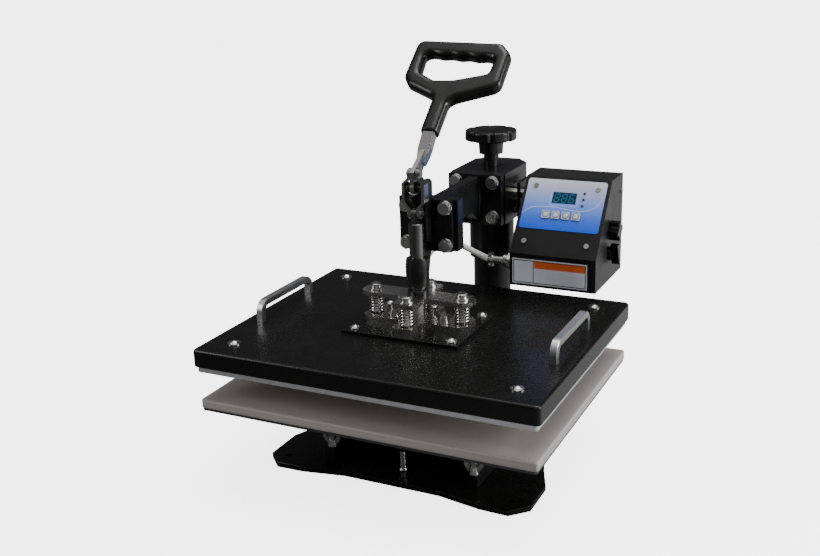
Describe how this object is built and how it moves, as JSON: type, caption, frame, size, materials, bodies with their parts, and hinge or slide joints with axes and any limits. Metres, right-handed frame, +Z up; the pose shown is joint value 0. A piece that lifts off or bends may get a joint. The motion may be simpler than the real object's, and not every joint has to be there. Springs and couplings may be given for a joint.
{
  "type": "swing-away heat press",
  "caption": "Swing-away tabletop heat press: post and base, toggle lever with D grip, sprung heated platen, padded bed and control box.",
  "frame": {"origin": "axis of the post at the underside of the base plate", "axes": "+X to the operator's right, +Y away from the operator, +Z up"},
  "size_m": [0.386, 0.435, 0.4484],
  "materials": {
    "black_powder_coat": "satin",
    "black_gloss_coat": "gloss",
    "bright_zinc": "satin",
    "mirror_chrome": "polished",
    "satin_nickel": "satin",
    "heater_aluminium": "satin",
    "handle_aluminium": "brushed",
    "support_steel": "satin",
    "sponge_rubber": "matte",
    "insulation_felt": "matte",
    "black_plastic": "matte",
    "panel_film": "gloss",
    "display_plastic": "gloss",
    "button_plastic": "satin",
    "led_plastic": "gloss",
    "label_film": "satin",
    "board_green": "satin",
    "cable_sleeve": "matte",
    "bush_bronze": "satin"
  },
  "bodies": {
    "base": {"base_plate": "black_gloss_coat", "post": "black_powder_coat", "base_bolts": "bright_zinc", "stand_rails": "black_powder_coat", "pedestal": "black_powder_coat", "support_plate": "support_steel", "pressing_pad": "sponge_rubber", "centre_stud": "bright_zinc", "stand_studs": "bright_zinc"},
    "stand_nut_left": {"stand_wing_nut_left": "bright_zinc"},
    "stand_nut_right": {"stand_wing_nut_right": "bright_zinc"},
    "head": {"swing_sleeve": "black_powder_coat", "head_block": "black_powder_coat", "rear_flange": "black_powder_coat", "beam": "black_powder_coat", "front_flange": "black_powder_coat", "flange_bolts": "bright_zinc", "toggle_body": "black_powder_coat", "ram_bushes": "bush_bronze", "pivot_pin": "satin_nickel", "box_bracket": "black_powder_coat", "bracket_studs": "bright_zinc", "control_case": "black_powder_coat", "control_front": "black_powder_coat", "panel_overlay": "panel_film", "display_window": "display_plastic", "circuit_board": "board_green", "indicator_leds": "led_plastic", "label_plate": "label_film", "case_screws": "bright_zinc", "mains_inlet": "black_plastic", "heater_plug": "bright_zinc", "heater_cable": "cable_sleeve"},
    "adjuster": {"pressure_knob": "black_plastic", "pressure_screw": "black_powder_coat"},
    "lever": {"lever_arm": "satin_nickel", "hand_grip": "black_plastic"},
    "yoke": {"yoke_straps": "satin_nickel", "yoke_rivets": "satin_nickel"},
    "ram": {"ram": "mirror_chrome", "upper_cross": "mirror_chrome", "ram_collar": "black_powder_coat"},
    "platen": {"spring_bolts": "bright_zinc", "springs": "bright_zinc", "lower_cross": "mirror_chrome", "mount_plate": "black_gloss_coat", "dome_screws": "bright_zinc", "platen_cover": "black_gloss_coat", "platen_handles": "handle_aluminium", "insulation": "insulation_felt", "heater_plate": "heater_aluminium", "cable_grommet": "black_plastic"},
    "cross_nut_left": {"cross_wing_nut_left": "bright_zinc"},
    "cross_nut_right": {"cross_wing_nut_right": "bright_zinc"},
    "button_1": {"button_1": "button_plastic"},
    "button_2": {"button_2": "button_plastic"},
    "button_3": {"button_3": "button_plastic"},
    "button_4": {"button_4": "button_plastic"},
    "switch": {"switch_knob": "black_plastic"},
    "fuse": {"fuse_cap": "black_plastic"}
  },
  "joints": [
    {"name": "head_swing", "type": "hinge", "parent": "base", "child": "head", "pos_m": [0, 0, 0.2165], "axis": [0, 0, 1], "range_deg": [-90, 90]},
    {"name": "pressure_adjust", "type": "hinge", "parent": "head", "child": "adjuster", "pos_m": [0, 0, 0.29], "axis": [0, 0, 1], "continuous": true},
    {"name": "lever_throw", "type": "hinge", "parent": "head", "child": "lever", "pos_m": [0, -0.214, 0.31], "axis": [1, 0, 0], "range_deg": [0, 180]},
    {"name": "yoke_pivot", "type": "hinge", "parent": "lever", "child": "yoke", "pos_m": [0, -0.214, 0.32545], "axis": [1, 0, 0], "range_deg": [-180, 0]},
    {"name": "ram_slide", "type": "slide", "parent": "head", "child": "ram", "axis": [0, 0, -1], "range_m": [0, 0.0309], "deforming": ["heater_cable"]},
    {"name": "platen_float", "type": "slide", "parent": "ram", "child": "platen", "axis": [0, 0, 1], "range_m": [0, 0.004], "stiffness_N_per_m": 8000, "springref_m": -0.006, "deforming": ["springs"]},
    {"name": "stand_nut_left_turn", "type": "hinge", "parent": "base", "child": "stand_nut_left", "pos_m": [-0.086, -0.27, 0.0265], "axis": [0, 0, 1], "continuous": true},
    {"name": "stand_nut_right_turn", "type": "hinge", "parent": "base", "child": "stand_nut_right", "pos_m": [0.086, -0.27, 0.0265], "axis": [0, 0, 1], "continuous": true},
    {"name": "cross_nut_left_turn", "type": "hinge", "parent": "platen", "child": "cross_nut_left", "pos_m": [-0.026, -0.223, 0.1725], "axis": [0, 0, 1], "continuous": true},
    {"name": "cross_nut_right_turn", "type": "hinge", "parent": "platen", "child": "cross_nut_right", "pos_m": [0.034, -0.223, 0.1725], "axis": [0, 0, 1], "continuous": true},
    {"name": "button_1_press", "type": "slide", "parent": "head", "child": "button_1", "axis": [0, 0.7953, -0.6062], "range_m": [0, 0.0006], "stiffness_N_per_m": 300, "springref_m": -0.001},
    {"name": "button_2_press", "type": "slide", "parent": "head", "child": "button_2", "axis": [0, 0.7953, -0.6062], "range_m": [0, 0.0006], "stiffness_N_per_m": 300, "springref_m": -0.001},
    {"name": "button_3_press", "type": "slide", "parent": "head", "child": "button_3", "axis": [0, 0.7953, -0.6062], "range_m": [0, 0.0006], "stiffness_N_per_m": 300, "springref_m": -0.001},
    {"name": "button_4_press", "type": "slide", "parent": "head", "child": "button_4", "axis": [0, 0.7953, -0.6062], "range_m": [0, 0.0006], "stiffness_N_per_m": 300, "springref_m": -0.001},
    {"name": "switch_turn", "type": "hinge", "parent": "head", "child": "switch", "pos_m": [0.1613, -0.038, 0.2045], "axis": [1, 0, 0], "range_deg": [-40, 50]},
    {"name": "fuse_turn", "type": "hinge", "parent": "head", "child": "fuse", "pos_m": [0.1613, -0.0365, 0.232], "axis": [1, 0, 0], "range_deg": [0, 60]}
  ],
  "couplings": [
    {"joint": "yoke_pivot", "follows": "lever_throw", "ratio": -1},
    {"joint": "ram_slide", "follows": "lever_throw", "m_per_rad": 0.0098358}
  ]
}
